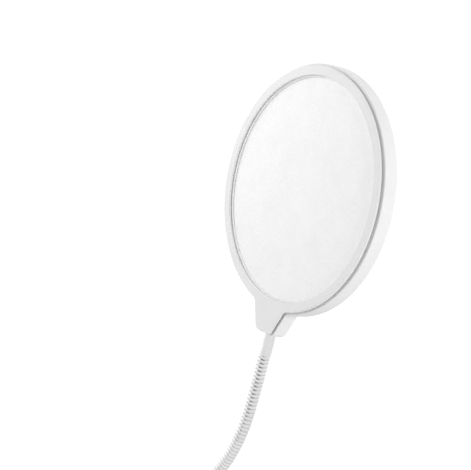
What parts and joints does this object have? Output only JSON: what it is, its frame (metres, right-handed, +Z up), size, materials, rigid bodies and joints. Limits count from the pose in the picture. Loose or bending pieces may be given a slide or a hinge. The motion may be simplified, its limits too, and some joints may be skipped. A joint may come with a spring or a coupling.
{
  "type": "microphone pop filter",
  "caption": "Round double-mesh pop filter in a white snap-together frame, on a flexible metal gooseneck with a screw clamp for a microphone stand tube.",
  "frame": {"origin": "on the axis of the stand tube held by the clamp, half way up the jaws", "axes": "+Z up the stand tube, +X along the gooseneck where it leaves the clamp, -Y the way the front of the disc faces"},
  "size_m": [0.5154, 0.038, 0.2911],
  "materials": {
    "white_plastic": "satin-gloss moulded ABS",
    "hoop_plastic": "smooth moulded polypropylene",
    "mesh_cloth": "fine knitted nylon stretched flat",
    "nickel": "satin nickel plate",
    "core_steel": "oiled spring steel",
    "zinc_steel": "bright zinc plate",
    "brass": "turned",
    "rubber": "matt",
    "clamp_plastic": "fine spark texture",
    "knob_grey": "gloss"
  },
  "bodies": {
    "clamp": {"clamp_body": "clamp_plastic", "jaw_pad": "rubber", "thread_insert": "brass", "base_ferrule": "nickel", "set_screw": "zinc_steel"},
    "pressure_pad": {"pressure_plate": "zinc_steel", "pressure_rubber": "rubber", "pad_retainer": "zinc_steel"},
    "screw": {"clamp_screw": "zinc_steel", "clamp_knob": "clamp_plastic", "knob_cap": "knob_grey", "knob_pin": "zinc_steel"},
    "neck_1": {"sheath_1": "nickel", "core_1": "core_steel"},
    "neck_2": {"sheath_2": "nickel", "core_2": "core_steel"},
    "neck_3": {"sheath_3": "nickel", "core_3": "core_steel"},
    "neck_4": {"sheath_4": "nickel", "core_4": "core_steel"},
    "neck_5": {"sheath_5": "nickel", "core_5": "core_steel"},
    "neck_6": {"sheath_6": "nickel", "core_6": "core_steel"},
    "neck_7": {"sheath_7": "nickel", "core_7": "core_steel"},
    "neck_8": {"sheath_8": "nickel", "core_8": "core_steel"},
    "head": {"front_frame": "white_plastic", "rear_frame": "white_plastic", "front_hoop": "hoop_plastic", "rear_hoop": "hoop_plastic", "front_mesh": "mesh_cloth", "rear_mesh": "mesh_cloth", "spacer_ring": "hoop_plastic", "neck_insert": "brass", "neck_pin": "zinc_steel", "neck_screws": "zinc_steel", "head_ferrule": "nickel"}
  },
  "joints": [
    {"name": "pad_travel", "type": "slide", "parent": "clamp", "child": "pressure_pad", "axis": [1, 0, 0], "range_m": [-0.0135, 0.0145]},
    {"name": "screw_turn", "type": "hinge", "parent": "pressure_pad", "child": "screw", "pos_m": [-0.0188, 0, 0], "axis": [1, 0, 0], "range_deg": [-3888, 4176]},
    {"name": "neck_bend_1", "type": "hinge", "parent": "clamp", "child": "neck_1", "pos_m": [0.052, 0, 0], "axis": [0, -1, 0], "range_deg": [-20, 20]},
    {"name": "neck_sway_2", "type": "hinge", "parent": "neck_1", "child": "neck_2", "pos_m": [0.08975, 0, 0], "axis": [0, 0, 1], "range_deg": [-20, 20]},
    {"name": "neck_bend_3", "type": "hinge", "parent": "neck_2", "child": "neck_3", "pos_m": [0.12749, 0, 0.00066], "axis": [0, -1, 0], "range_deg": [-20, 20]},
    {"name": "neck_sway_4", "type": "hinge", "parent": "neck_3", "child": "neck_4", "pos_m": [0.16517, 0, 0.00296], "axis": [-0.0872, 0, 0.9962], "range_deg": [-20, 20]},
    {"name": "neck_bend_5", "type": "hinge", "parent": "neck_4", "child": "neck_5", "pos_m": [0.20251, 0, 0.00834], "axis": [0, -1, 0], "range_deg": [-20, 20]},
    {"name": "neck_sway_6", "type": "hinge", "parent": "neck_5", "child": "neck_6", "pos_m": [0.23858, 0, 0.0193], "axis": [-0.3811, 0, 0.9245], "range_deg": [-20, 20]},
    {"name": "neck_bend_7", "type": "hinge", "parent": "neck_6", "child": "neck_7", "pos_m": [0.27078, 0, 0.03873], "axis": [0, -1, 0], "range_deg": [-20, 20]},
    {"name": "neck_sway_8", "type": "hinge", "parent": "neck_7", "child": "neck_8", "pos_m": [0.29409, 0, 0.06808], "axis": [-0.8934, 0, 0.4493], "range_deg": [-20, 20]},
    {"name": "neck_bend_9", "type": "hinge", "parent": "neck_8", "child": "head", "pos_m": [0.31001, 0, 0.1023], "axis": [0, -1, 0], "range_deg": [-20, 20]}
  ],
  "couplings": [
    {"joint": "screw_turn", "follows": "pad_travel", "rad_per_m": 5026.5},
    {"joint": "neck_bend_1", "follows": "neck_bend_3", "ratio": 1},
    {"joint": "neck_bend_5", "follows": "neck_bend_3", "ratio": 1},
    {"joint": "neck_bend_9", "follows": "neck_bend_7", "ratio": 1},
    {"joint": "neck_sway_2", "follows": "neck_sway_4", "ratio": 1},
    {"joint": "neck_sway_6", "follows": "neck_sway_8", "ratio": 1}
  ]
}
